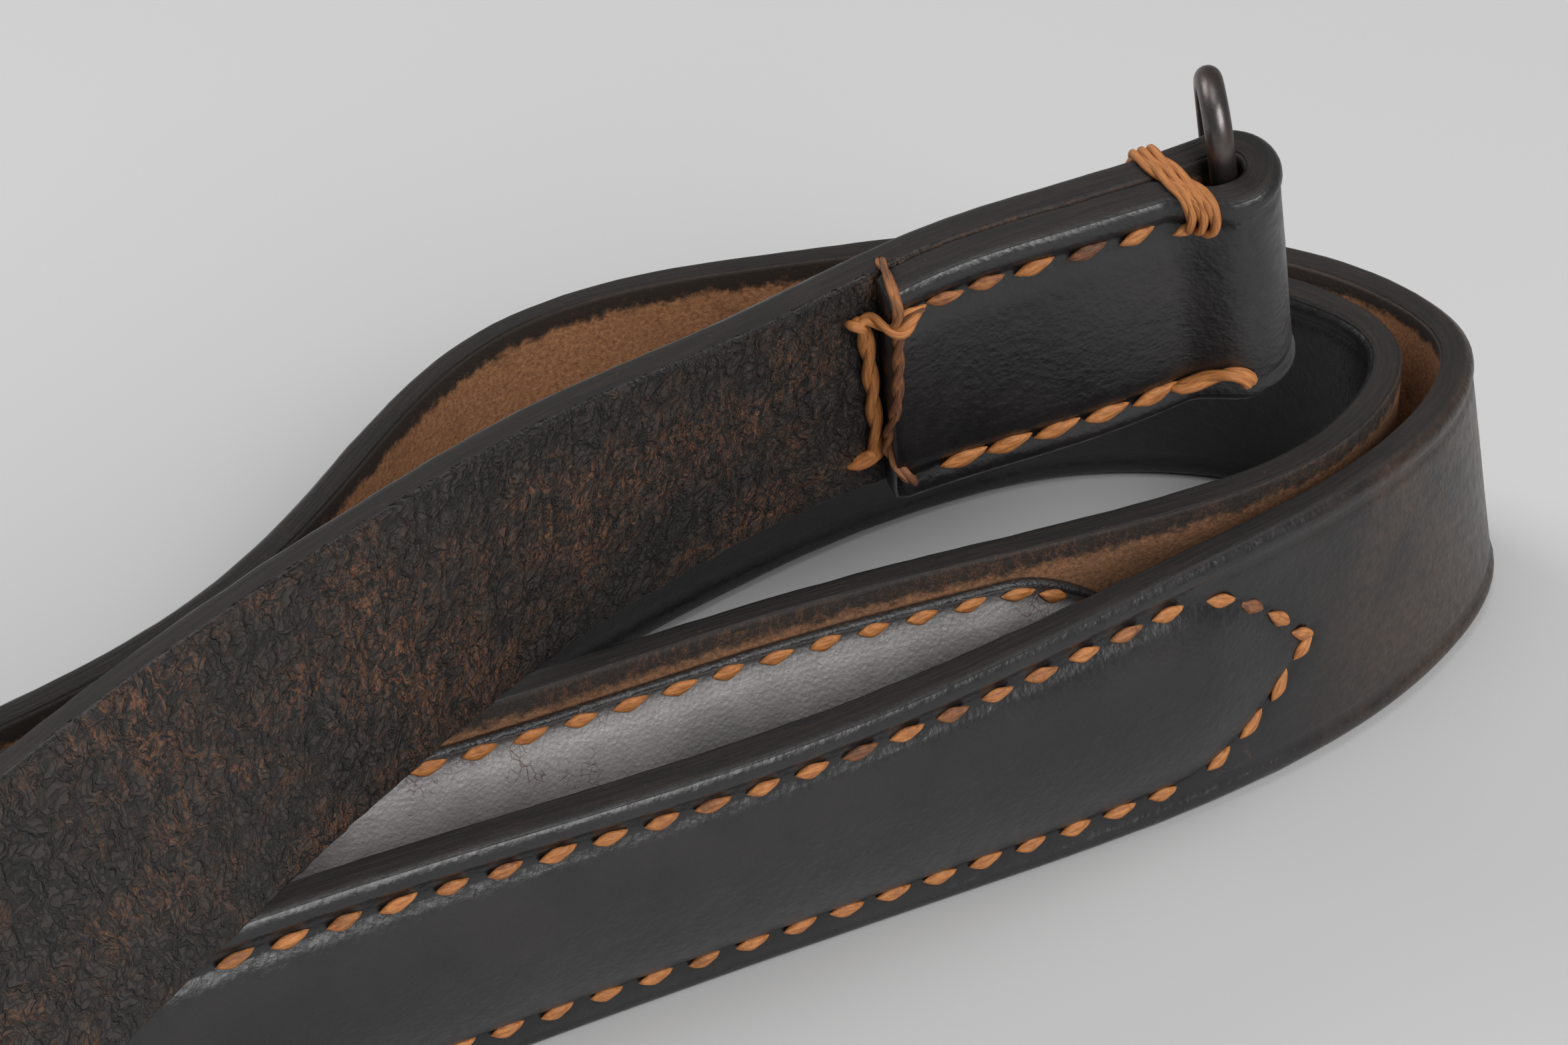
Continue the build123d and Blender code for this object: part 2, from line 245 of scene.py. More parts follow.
def give(piece, name, values):
    """Stores a number or a vector for each point, for the material to read."""
    values = np.asarray(values, np.float32)
    kind, field = ("FLOAT_VECTOR", "vector") if values.ndim == 2 else ("FLOAT", "value")
    attribute = piece.data.attributes.new(name, kind, "POINT")
    attribute.data.foreach_set(field, values.ravel())


def tube_faces(rows, columns, start=0):
    """Quads between closed rings of points, with a flat face on both ends."""
    faces = []
    for i in range(rows - 1):
        for j in range(columns):
            k = (j + 1) % columns
            a, b = start + i * columns, start + (i + 1) * columns
            faces.append((a + j, a + k, b + k, b + j))
    faces.append(range(start, start + columns))
    faces.append(range(start + (rows - 1) * columns, start + rows * columns))
    return faces


# ---- stations along the leather: from the tail's cut edge at end A to the one at end B --------------
def tail_stations(end, distances):
    length, way = ends[end]
    foot, along, up, flesh = axes_at(length + way * distances)
    return foot + flesh * tail_offset(distances)[:, None], -flesh, up


def fold_stations(end, turns):
    length, way = ends[end]
    foot, along, up, flesh = axes_at(length)
    angle = np.radians(turns)[:, None]
    along = along * way
    origin = foot - along * fold_radius * np.sin(angle) + flesh * fold_radius * (1 + np.cos(angle))
    return origin, along * np.sin(angle) - flesh * np.cos(angle), np.repeat(up, len(turns), axis=0)


def run_lengths():
    """Route lengths of the strap's own sections, closest where there is most to see."""
    lengths = [ends["a"][0]]
    while lengths[-1] < ends["b"][0]:
        here = lengths[-1]
        step = 1.7
        if here < length_at(9):
            step = 0.6
        elif pad_start - 3 < here < pad_start + 105 or pad_end - 175 < here < pad_end + 3:
            step = 0.8
        lengths.append(here + step)
    lengths[-1] = ends["b"][0]
    return np.array(lengths)


tail_distances = np.concatenate([np.arange(tail_length, 0.5, -0.7), [0.35]])
fold_turns = np.arange(0.0, 179.0, 9.0)
main_lengths = run_lengths()
foot, along, up, flesh = axes_at(main_lengths)
blocks = [
    tail_stations("a", tail_distances),
    fold_stations("a", fold_turns),
    (foot, flesh, up),
    fold_stations("b", fold_turns[::-1]),
    tail_stations("b", tail_distances[::-1]),
]
station_origin, station_side, station_up = (np.vstack([b[k] for b in blocks]) for k in range(3))
tail_count, fold_count = len(tail_distances), len(fold_turns)
station_count = len(station_origin)
leather_steps = np.linalg.norm(np.diff(station_origin, axis=0), axis=1)
leather_place = np.concatenate([[0.0], np.cumsum(leather_steps)])
# Route length at each station (that of the layer below, on the tails), and distance from the fold.
route_length = np.concatenate([
    ends["a"][0] + tail_distances, np.full(fold_count, ends["a"][0]), main_lengths,
    np.full(fold_count, ends["b"][0]), ends["b"][0] - tail_distances[::-1],
])
on_tail = np.zeros(station_count)
on_tail[:tail_count] = 1
on_tail[-tail_count:] = 1
from_fold = np.minimum(np.abs(route_length - ends["a"][0]), np.abs(route_length - ends["b"][0]))


# ---- outline of the leather's section -------------------------------------------------------------
def leather_outline():
    """Through-thickness and height of each point of the section, and its outward direction."""
    grain_round, flesh_round = 1.05, 0.5
    edge_heights = np.arange(grain_round, 5.2, 0.42)
    centre_heights = np.arange(5.6, middle, 0.95)
    lower_half = np.concatenate([edge_heights, centre_heights])
    heights = np.concatenate([lower_half, [middle], strap_width - lower_half[::-1]])
    rows = [(-half_leather, h, -1.0, 0.0) for h in heights]
    corners = [
        (-half_leather + grain_round, strap_width - grain_round, 180, grain_round),
        (half_leather - flesh_round, strap_width - flesh_round, 90, flesh_round),
        (half_leather - flesh_round, flesh_round, 0, flesh_round),
        (-half_leather + grain_round, grain_round, -90, grain_round),
    ]
    for number, (t, h, first, radius) in enumerate(corners):
        if number == 2:
            rows += [(half_leather, height, 1.0, 0.0) for height in heights[-2:1:-1]]
        for angle in np.radians(first - np.array([15, 40, 65, 90 if number in (0, 2) else 80])):
            c, s = math.cos(angle), math.sin(angle)
            rows.append((t + radius * c, h + radius * s, c, s))
    return np.array(rows).T


through, height, out_through, out_height = leather_outline()
on_grain = np.clip(-out_through, 0, 1) ** 2
on_flesh = np.clip(out_through, 0, 1) ** 2
on_edge = np.clip(np.abs(out_height), 0, 1) ** 2
columns = len(through)


# ---- shape of the leather's surface -----------------------------------------------------------------
pad_distance = route_length - pad_start
in_pad = ((pad_distance > 0) & (pad_distance < pad_length) & (on_tail == 0)).astype(float)
pad_swell = in_pad * ease((np.minimum(pad_distance, pad_length - pad_distance) - bulge_start) / bulge_ramp)
row_half = pad_row_half(np.clip(pad_distance, 0, pad_length))


def pad_rise(row_place):
    """Rise of the leather over the filler, where row_place is 0 at the middle and 1 at a stitch row."""
    return np.clip(1 - (np.abs(row_place) / 0.94) ** 2.3, 0, 1) ** 0.9


def stitch_lengths(row):
    """Distances along a row of stitches, from the pad's first point or from the fold."""
    if row == "pad":
        count = int((pad_length - 2 * pad_point_length) / stitch_pitch)
        return pad_point_length + stitch_pitch * np.arange(count + 1)
    return end_row_start + end_stitch_pitch * np.arange(end_stitch_count)


def leather_shape():
    """Outward displacement of every point, and the shift of the section to the grain side."""
    from_middle = height[None, :] - middle
    inset = middle - np.abs(from_middle)
    crease = -0.26 * hill(inset - 2.35, 0.42) * (1 - on_tail)[:, None]
    edge_bead = 0.2 * hill(inset - 1.35, 0.75)
    row_place = from_middle / row_half[:, None]
    rise = pad_swell[:, None] * pad_rise(row_place) * (np.abs(row_place) < 1)
    channel = -0.4 * in_pad[:, None] * hill(np.abs(from_middle) - row_half[:, None], 0.72)
    # Thread pulls the leather down between stitches.
    phase = (pad_distance - pad_point_length) / stitch_pitch
    between = 0.5 - 0.5 * np.cos(2 * math.pi * phase)
    channel = channel * (0.75 + 0.45 * between[:, None])
    sewn = on_tail * (from_fold > 2.5) * (from_fold < tail_length)
    pulled = 0.5 - 0.5 * np.cos(2 * math.pi * (from_fold - end_row_start) / end_stitch_pitch)
    end_channel = -0.45 * hill(inset - stitch_inset, 0.7) * (sewn * (0.75 + 0.35 * pulled))[:, None]
    panel = 0.35 * (on_tail * ease((from_fold - 1) / 5))[:, None] * ease((inset - stitch_inset - 0.4) / 2.2)
    worn = np.zeros((station_count, columns))
    rough = rough_share()
    for i in range(station_count):
        s = leather_place[i]
        for j in range(columns):
            low = noise.noise(Vector((s * 0.06, height[j] * 0.09, through[j])))
            value = 0.11 * low
            if on_edge[j] > 0.3:
                value += 0.07 * noise.noise(Vector((s * 0.35, through[j] * 1.5, 7.0)))
            if rough[i] > 0.02 and on_flesh[j] > 0.5:
                wrinkle = noise.noise(Vector((s * 0.55, height[j] * 0.2, 3.0)))
                pebble = noise.noise(Vector((s * 0.95, height[j] * 0.7, 9.0)))
                value += rough[i] * (0.16 * wrinkle + 0.14 * pebble)
            worn[i, j] = value
    face = on_grain[None, :]
    total = face * (crease + edge_bead + channel + end_channel + panel) + worn
    return total, grain_bulge * rise


def rough_share():
    """How cracked and pebbled the flesh side is: most at the stretch from end A."""
    first = ease((length_at(12) - route_length) / 40) * (1 - on_tail)
    return first * ease((route_length - ends["a"][0] - tail_length + 8) / 6)


displacement, shift = leather_shape()
points = (
    station_origin[:, None, :]
    + station_side[:, None, :] * (through[None, :] + out_through[None, :] * displacement - shift)[:, :, None]
    + station_up[:, None, :] * (height[None, :] + out_height[None, :] * displacement)[:, :, None]
)
# The cut ends are rounded: the last ring is drawn in a little.
for row, beside in ((0, 1), (-1, -2)):
    centre = points[row].mean(axis=0)
    outward = unit(station_origin[row] - station_origin[beside])
    points[row] = centre + (points[row] - centre) * 0.965 + outward * 0.25


# ---- node graphs ------------------------------------------------------------------------------------
class Finish:
    """A material built from nodes, with short names for the ones used here."""

    def __init__(self, name):
        self.material = bpy.data.materials.new(name)
        self.material.use_nodes = True
        self.tree = self.material.node_tree
        self.shader = self.tree.nodes["Principled BSDF"]

    def put(self, socket, value):
        if isinstance(value, bpy.types.NodeSocket):
            self.tree.links.new(value, socket)
        elif socket.type == "RGBA":
            socket.default_value = (*value, 1.0)
        else:
            socket.default_value = value

    def node(self, kind, settings=None, **inputs):
        made = self.tree.nodes.new(kind)
        for key, value in (settings or {}).items():
            setattr(made, key, value)
        for key, value in inputs.items():
            self.put(made.inputs[key.replace("_", " ")], value)
        return made

    def stored(self, name, vector=False):
        made = self.node("ShaderNodeAttribute", {"attribute_name": name})
        return made.outputs["Vector" if vector else "Fac"]

    def scaled(self, vector, factors):
        made = self.node("ShaderNodeVectorMath", {"operation": "MULTIPLY"})
        self.put(made.inputs[0], vector)
        self.put(made.inputs[1], factors)
        return made.outputs[0]

    def noise(self, vector, scale, detail=4.0, roughness=0.55, distortion=0.0):
        made = self.node(
            "ShaderNodeTexNoise", None,
            Vector=vector, Scale=scale, Detail=detail, Roughness=roughness, Distortion=distortion,
        )
        return made.outputs["Fac"]

    def warped(self, vector, scale, amount):
        """The vector pushed about by a noise, so that a pattern on it loses its regularity."""
        push = self.node("ShaderNodeTexNoise", None, Vector=vector, Scale=scale, Detail=3.0)
        centred = self.node("ShaderNodeVectorMath", {"operation": "SUBTRACT"})
        self.put(centred.inputs[0], push.outputs["Color"])
        self.put(centred.inputs[1], (0.5, 0.5, 0.5))
        made = self.node("ShaderNodeVectorMath", {"operation": "ADD"})
        self.put(made.inputs[0], vector)
        self.put(made.inputs[1], self.scaled(centred.outputs[0], (amount, amount, amount)))
        return made.outputs[0]

    def cells(self, vector, scale, feature="DISTANCE_TO_EDGE"):
        made = self.node("ShaderNodeTexVoronoi", {"feature": feature}, Vector=vector, Scale=scale)
        return made.outputs["Distance"]

    def math(self, operation, a, b=0.0):
        made = self.node("ShaderNodeMath", {"operation": operation})
        self.put(made.inputs[0], a)
        self.put(made.inputs[1], b)
        return made.outputs[0]

    def spread(self, value, low, high, to_low=0.0, to_high=1.0):
        made = self.node(
            "ShaderNodeMapRange", {"interpolation_type": "SMOOTHSTEP"},
            Value=value, From_Min=low, From_Max=high, To_Min=to_low, To_Max=to_high,
        )
        return made.outputs[0]

    def blend(self, share, a, b):
        made = self.node("ShaderNodeMix", {"data_type": "RGBA"})
        self.put(made.inputs[0], share)
        self.put(made.inputs[6], a)
        self.put(made.inputs[7], b)
        return made.outputs[2]

    def bump(self, height, strength, distance, below=None):
        made = self.node("ShaderNodeBump", None, Height=height, Strength=strength, Distance=distance)
        if below is not None:
            self.put(made.inputs["Normal"], below)
        return made.outputs[0]

    def wear(self, **inputs):
        for key, value in inputs.items():
            self.put(self.shader.inputs[key.replace("_", " ")], value)
        return self.material


def strap_finish():
    """Dark dyed harness leather: smooth grain side, brown suede or cracked flesh side, dark edges."""
    f = Finish("strap_leather_finish")
    place = f.stored("place", vector=True)
    flesh = f.stored("flesh_side")
    edge = f.stored("cut_edge")
    rough = f.stored("rough_flesh")
    suede = f.stored("bright_suede")
    brown = f.stored("browned_grain")
    border = f.stored("near_edge")

    clouds = f.noise(place, 0.09, 5.0, 0.6)
    speckle = f.noise(place, 1.3, 5.0, 0.7)
    grain_color = f.blend(f.spread(clouds, 0.35, 0.7), (0.0062, 0.0057, 0.0060), (0.0140, 0.0120, 0.0118))
    browned = f.blend(f.spread(speckle, 0.35, 0.7), (0.020, 0.0125, 0.009), (0.050, 0.028, 0.018))
    grain_color = f.blend(f.math("MULTIPLY", brown, f.spread(clouds, 0.3, 0.6)), grain_color, browned)
    scuffed = f.spread(f.noise(place, 0.16, 6.0, 0.75, 0.6), 0.66, 0.74)
    scuff = f.math("MULTIPLY", scuffed, f.spread(speckle, 0.42, 0.6))
    grain_color = f.blend(f.math("MULTIPLY", scuff, 0.55), grain_color, (0.13, 0.055, 0.025))

    fibres = f.noise(f.scaled(place, (1.3, 0.28, 1.0)), 1.0, 9.0, 0.74, 0.7)
    wrinkled = f.warped(place, 0.45, 3.2)
    cracks = f.cells(f.scaled(wrinkled, (0.75, 0.27, 0.4)), 1.0)
    fine_cracks = f.cells(f.scaled(wrinkled, (1.9, 1.1, 1.0)), 1.0)
    dark_flesh = f.blend(f.spread(fibres, 0.4, 0.66), (0.0085, 0.0072, 0.0066), (0.036, 0.027, 0.022))
    # Painted sheen lightens the pebbles' raised plateaus; painted shade darkens the cracks between them.
    pebble_sheen = f.spread(fine_cracks, 0.02, 0.24)
    dark_flesh = f.blend(f.math("MULTIPLY", pebble_sheen, 0.5), dark_flesh, (0.050, 0.041, 0.035))
    dark_flesh = f.blend(f.spread(fine_cracks, 0.0, 0.07, 0.85, 0.0), dark_flesh, (0.004, 0.0034, 0.003))
    dark_flesh = f.blend(f.spread(cracks, 0.0, 0.09, 0.9, 0.0), dark_flesh, (0.004, 0.0034, 0.003))
    wandering = f.noise(f.scaled(place, (0.55, 0.3, 0.5)), 1.0, 7.0, 0.7, 1.4)
    hairs = f.math("ABSOLUTE", f.math("SUBTRACT", wandering, 0.5))
    where = f.spread(f.noise(place, 0.1, 4.0, 0.65), 0.42, 0.62)
    tufts = f.math("MULTIPLY", f.spread(hairs, 0.0, 0.035, 1.0, 0.0), where)
    tufts = f.math("MULTIPLY", tufts, f.spread(fibres, 0.36, 0.56))
    dark_flesh = f.blend(tufts, dark_flesh, (0.26, 0.10, 0.038))
    ruddy = f.math("MULTIPLY", where, f.spread(f.noise(place, 0.9, 6.0, 0.75), 0.46, 0.66))
    dark_flesh = f.blend(f.math("MULTIPLY", ruddy, 0.4), dark_flesh, (0.075, 0.031, 0.015))

    nap = f.noise(place, 2.2, 6.0, 0.75)
    suede_color = f.blend(f.spread(nap, 0.3, 0.72), (0.30, 0.125, 0.052), (0.66, 0.33, 0.155))
    soiled = f.spread(f.noise(place, 0.2, 4.0, 0.6), 0.52, 0.78, 0.0, 0.55)
    suede_color = f.blend(soiled, suede_color, (0.10, 0.042, 0.018))
    ragged = f.math("SUBTRACT", f.noise(place, 0.7, 6.0, 0.75), 0.5)
    dye = f.math("ADD", border, f.math("MULTIPLY", ragged, 1.1))
    suede_color = f.blend(f.spread(dye, 0.5, 0.85), suede_color, (0.032, 0.020, 0.014))
    flesh_color = f.blend(suede, dark_flesh, suede_color)

    strands = f.noise(f.scaled(place, (0.12, 2.6, 2.6)), 1.0, 5.0, 0.7)
    edge_color = f.blend(f.spread(strands, 0.35, 0.72), (0.004, 0.0034, 0.0031), (0.021, 0.013, 0.0095))
    flecks = f.spread(f.noise(f.scaled(place, (0.9, 2.0, 2.0)), 1.0, 6.0, 0.8, 0.6), 0.62, 0.70)
    edge_color = f.blend(f.math("MULTIPLY", flecks, 0.75), edge_color, (0.15, 0.062, 0.028))
    color = f.blend(edge, f.blend(flesh, grain_color, flesh_color), edge_color)
    # Painted shade: darkens the stitch channels, where shade falls.
    color = f.blend(f.math("MULTIPLY", f.stored("channel_shade"), 0.8), color, (0.003, 0.0025, 0.0025))

    shine = f.spread(f.noise(place, 0.8, 4.0, 0.6), 0.3, 0.75, 0.31, 0.44)
    dull = f.blend(suede, f.spread(fibres, 0.3, 0.7, 0.42, 0.66), (0.95, 0.95, 0.95))
    roughness = f.blend(edge, f.blend(flesh, shine, dull), (0.82, 0.82, 0.82))

    pores = f.cells(place, 1.9, "F1")
    soft = f.noise(place, 0.9, 5.0, 0.6)
    smooth_bump = f.bump(f.math("ADD", f.math("MULTIPLY", pores, 0.3), soft), 0.6, 0.00016)
    hollow = f.math("MULTIPLY", f.spread(cracks, 0.0, 0.2), rough)
    pits = f.math("MULTIPLY", f.spread(fine_cracks, 0.0, 0.16), rough)
    crack_bump = f.bump(hollow, 0.9, 0.00042, smooth_bump)
    crack_bump = f.bump(pits, 0.8, 0.00020, crack_bump)
    streaks = f.math("MULTIPLY", fibres, rough)
    crack_bump = f.bump(streaks, 0.5, 0.00030, crack_bump)
    nap_height = f.math("MULTIPLY", nap, flesh)
    nap_bump = f.bump(nap_height, 0.8, 0.0003, crack_bump)
    edge_height = f.math("MULTIPLY", strands, edge)
    normal = f.bump(edge_height, 0.9, 0.0005, nap_bump)
    return f.wear(Base_Color=color, Roughness=roughness, Normal=normal, Specular_IOR_Level=0.6)


def lining_finish():
    """Soft grey-black lining, its base tone lifted to a light grey that paints its dull sheen, with fine
    grain and red-brown cracks.
    """
    f = Finish("lining_leather_finish")
    place = f.stored("place", vector=True)
    edge = f.stored("cut_edge")
    clouds = f.noise(place, 0.12, 4.0, 0.6)
    # Painted sheen: this base tone is far lighter than the grey-black lining and stands in for the sheen it
    # reflects.
    color = f.blend(f.spread(clouds, 0.3, 0.7), (0.21, 0.20, 0.198), (0.30, 0.285, 0.28))
    web = f.cells(f.scaled(place, (1.5, 1.0, 1.0)), 1.0)
    patches = f.spread(f.noise(place, 0.11, 5.0, 0.7, 0.5), 0.53, 0.66)
    cracks = f.math("MULTIPLY", f.spread(web, 0.0, 0.07, 1.0, 0.0), patches)
    gouges = f.spread(f.noise(f.scaled(place, (0.35, 0.6, 0.3)), 1.0, 7.0, 0.78, 1.2), 0.66, 0.70)
    torn = f.math("MAXIMUM", cracks, f.math("MULTIPLY", gouges, patches))
    color = f.blend(f.math("MULTIPLY", torn, 0.85), color, (0.13, 0.040, 0.018))
    color = f.blend(edge, color, (0.022, 0.015, 0.012))
    # Painted shade: darkens the lining's stitch channels, where shade falls.
    color = f.blend(f.math("MULTIPLY", f.stored("channel_shade"), 0.9), color, (0.005, 0.004, 0.004))
    color = f.blend(f.stored("beaded"), color, (0.016, 0.0145, 0.015))
    roughness = f.spread(f.noise(place, 1.1, 5.0, 0.6), 0.3, 0.7, 0.38, 0.54)
    pores = f.cells(place, 2.4, "F1")
    fine_grain = f.math("ADD", f.math("MULTIPLY", pores, 0.5), f.noise(place, 2.6, 4.0, 0.6))
    normal = f.bump(fine_grain, 0.8, 0.00015)
    normal = f.bump(f.math("SUBTRACT", 1.0, torn), 0.5, 0.00014, normal)
    return f.wear(Base_Color=color, Roughness=roughness, Normal=normal, Specular_IOR_Level=0.7)


def filler_finish():
    """Pressed felt, sealed between strap and lining."""
    f = Finish("filler_felt_finish")
    place = f.stored("place", vector=True)
    hairs = f.noise(f.scaled(place, (1.0, 2.0, 2.0)), 1.4, 8.0, 0.8, 0.8)
    color = f.blend(f.spread(hairs, 0.3, 0.7), (0.24, 0.22, 0.19), (0.42, 0.39, 0.34))
    return f.wear(Base_Color=color, Roughness=0.95, Normal=f.bump(hairs, 0.6, 0.0003))


def thread_finish():
    """Waxed orange linen thread, darkened by wear on some stitches."""
    f = Finish("waxed_thread_finish")
    place = f.stored("strand_place", vector=True)
    grime = f.stored("grime")
    plies = f.noise(f.scaled(place, (0.55, 3.4, 3.4)), 1.0, 5.0, 0.7)
    clean = f.blend(f.spread(plies, 0.32, 0.7), (0.30, 0.100, 0.026), (0.60, 0.245, 0.072))
    dirty = f.blend(f.spread(plies, 0.32, 0.7), (0.055, 0.024, 0.013), (0.23, 0.085, 0.036))
    blotch = f.noise(place, 0.55, 4.0, 0.6)
    share = f.spread(f.math("ADD", grime, f.math("MULTIPLY", f.math("SUBTRACT", blotch, 0.5), 0.9)), 0.3, 0.8)
    color = f.blend(share, clean, dirty)
    normal = f.bump(plies, 0.6, 0.00018)
    return f.wear(Base_Color=color, Roughness=f.spread(plies, 0.3, 0.7, 0.5, 0.68), Normal=normal)


def ring_finish():
    """Blued steel wire, with brown patina and bright worn streaks."""
    f = Finish("ring_wire_finish")
    place = f.node("ShaderNodeTexCoord").outputs["Object"]
    patina = f.noise(place, 160.0, 6.0, 0.7)
    streaks = f.noise(f.scaled(place, (2200.0, 2200.0, 160.0)), 1.0, 5.0, 0.7)
    color = f.blend(f.spread(patina, 0.38, 0.66), (0.115, 0.105, 0.105), (0.085, 0.058, 0.046))
    color = f.blend(f.spread(streaks, 0.6, 0.78, 0.0, 0.7), color, (0.30, 0.28, 0.275))
    roughness = f.spread(patina, 0.3, 0.7, 0.28, 0.5)
    normal = f.bump(f.math("ADD", streaks, patina), 0.35, 0.00006)
    return f.wear(Base_Color=color, Metallic=0.9, Roughness=roughness, Normal=normal)


def floor_finish():
    """Matt pale grey card."""
    f = Finish("pale_floor_finish")
    place = f.node("ShaderNodeTexCoord").outputs["Object"]
    tone = f.noise(place, 3.0, 3.0, 0.5)
    color = f.blend(tone, (0.55, 0.55, 0.552), (0.585, 0.585, 0.586))
    fine = f.noise(place, 900.0, 3.0, 0.6)
    return f.wear(Base_Color=color, Roughness=0.6, Normal=f.bump(fine, 0.1, 0.0001))


# ---- the strap itself ---------------------------------------------------------------------------
leather = strap_finish()
strap = new_piece(
    "strap_leather_body", points.reshape(-1, 3), tube_faces(station_count, columns), leather,
    stands_for=["strap"],
)


def everywhere(along_values, across_values):
    """One number for each point, from one for each station times one for each outline point."""
    return np.outer(along_values, across_values).ravel()


flat = np.ones(station_count)
give(strap, "place", np.stack([
    everywhere(leather_place, np.ones(columns)), everywhere(flat, height), everywhere(flat, through),
], axis=1))
bright = 0.5 + 0.5 * ease((route_length - length_at(52)) / 30)
bright = (bright * (1 - rough_share())) * (1 - on_tail)
browned = ease((route_length - pad_end + 4) / 14) * (1 - on_tail)
browned *= 1 - ease((route_length - length_at(60)) / 30)
give(strap, "flesh_side", everywhere(flat, on_flesh))
give(strap, "cut_edge", everywhere(flat, ease((on_edge - 0.6) / 0.3) * ease((through + 1.15) / 0.3)))
give(strap, "near_edge", everywhere(flat, 1 - ease((middle - np.abs(height - middle) - 0.4) / 4.2)))
# Painted shade along the stitch channels of the pad and of the tails' rows, on the grain face.
channel_shade = in_pad[:, None] * hill(np.abs(height[None, :] - middle) - row_half[:, None], painted_shade_width)
sewn_tail = (on_tail * (from_fold > 3))[:, None]
from_tail_row = middle - np.abs(height[None, :] - middle) - stitch_inset
channel_shade += sewn_tail * hill(from_tail_row, painted_shade_width)
give(strap, "channel_shade", (channel_shade * on_grain[None, :]).ravel())
give(strap, "rough_flesh", everywhere(rough_share(), on_flesh))
give(strap, "bright_suede", everywhere(bright, np.ones(columns)))
give(strap, "browned_grain", everywhere(browned, np.ones(columns)))


# ---- lining and filler --------------------------------------------------------------------------
def skin_outline(count=19):
    """Positions across a thin skin, -1 to 1, crowded towards its two edges."""
    return np.sin(np.linspace(-math.pi / 2, math.pi / 2, count)) * 0.6 + np.linspace(-1, 1, count) * 0.4


def swept_skin(name, distances, outer, inner, half_width, material, stands_for):
    """A closed skin along the pad. outer and inner give offsets for stations and places across."""
    foot, along, up, flesh = axes_at(pad_start + distances)
    across = skin_outline()
    rounded = [(1.02, 0.72), (1.03, 0.3)]
    shares = np.concatenate([across, [p for p, _ in rounded], across[::-1], [-p for p, _ in rounded[::-1]]])
    depth = np.concatenate([
        np.ones(len(across)), [d for _, d in rounded], np.zeros(len(across)), [d for _, d in rounded[::-1]],
    ])
    half = half_width(distances)[:, None]
    heights = middle + half * shares[None, :]
    top, bottom = outer(distances, heights), inner(distances, heights)
    corner = 0.22 * hill((1 - np.abs(shares)) * 10.0, 0.7)[None, :] * (depth > 0.5)
    offsets = bottom + (top - bottom) * depth[None, :] - corner
    grid = foot[:, None, :] + flesh[:, None, :] * offsets[:, :, None] + up[:, None, :] * heights[:, :, None]
    piece = new_piece(
        name, grid.reshape(-1, 3), tube_faces(len(distances), len(shares)), material,
        stands_for=stands_for,
    )
    ones = np.ones(len(distances))
    give(piece, "place", np.stack([
        np.outer(distances, np.ones(len(shares))).ravel(), heights.ravel(), offsets.ravel(),
    ], axis=1))
    give(piece, "cut_edge", np.outer(ones, (depth < 0.95) * 1.0).ravel())
    from_row = np.abs(heights - middle) - pad_row_half(distances)[:, None]
    outside = (depth > 0.5)[None, :]
    # Painted shade along the lining's stitch channels.
    give(piece, "channel_shade", (hill(from_row, painted_shade_width) * outside).ravel())
    give(piece, "beaded", (ease((from_row - 0.1) / 0.5) * outside).ravel())
    return piece


def swell_at(distances):
    return ease((np.minimum(distances, pad_length - distances) - bulge_start) / bulge_ramp)[:, None]


def rise_at(distances, heights):
    place = (heights - middle) / pad_row_half(distances)[:, None]
    return swell_at(distances) * pad_rise(np.clip(place, -1, 1))


def lining_bottom(distances, heights):
    return half_leather + layer_gap + lining_bulge * rise_at(distances, heights)


def lining_top(distances, heights):
    from_row = np.abs(heights - middle) - pad_row_half(distances)[:, None]
    phase = 0.5 - 0.5 * np.cos(2 * math.pi * (distances[:, None] - pad_point_length) / stitch_pitch)
    channel = 0.42 * hill(from_row, 0.5) * (0.75 + 0.45 * phase)
    bead = 0.14 * hill(from_row - 1.3, 0.6)
    wander = np.array([
        [noise.noise(Vector((d * 0.09, h * 0.16, 5.0))) for h in row] for d, row in zip(distances, heights)
    ])
    return lining_bottom(distances, heights) + lining_thickness + bead - channel + 0.13 * wander


def lining_half_width(distances):
    return lining_half * point_share(distances)


def filler_half_width(distances):
    return filler_half * np.maximum(swell_at(distances)[:, 0], 0.08)


pad_distances = np.arange(0.3, pad_length - 0.2, 0.8)
lining = swept_skin(
    "pad_lining_skin", pad_distances, lining_top, lining_bottom, lining_half_width,
    lining_finish(), ["pad_lining"],
)
filler_distances = np.arange(7.5, pad_length - 7.5, 1.6)
filler = swept_skin(
    "pad_filler_felt", filler_distances,
    lambda d, h: lining_bottom(d, h) - 0.06,
    lambda d, h: half_leather - grain_bulge * rise_at(d, h) + 0.16,
    filler_half_width, filler_finish(), ["pad_filler"],
)


# ---- stitches -----------------------------------------------------------------------------------
thread = thread_finish()
stitch_rings, stitch_round = 11, 12


def one_stitch(length, width, depth):
    """Points of a leaf-shaped stitch of two twisted plies, x along it and z out of the leather."""
    u = np.linspace(-1, 1, stitch_rings)[:, None]
    angle = np.linspace(0, 2 * math.pi, stitch_round, endpoint=False)[None, :]
    swell = np.maximum((1 - np.abs(u) ** 1.9), 0.0) ** 0.85 * 0.93 + 0.07
    ridge = 1 + 0.13 * np.cos(2 * (angle - 2.0 * u))
    x = u * length / 2 + 0 * angle
    y = width / 2 * swell * ridge * np.cos(angle)
    z = depth / 2 * swell * ridge * np.sin(angle) - 0.16 * u ** 2
    return np.stack([x, y, z], axis=-1).reshape(-1, 3)


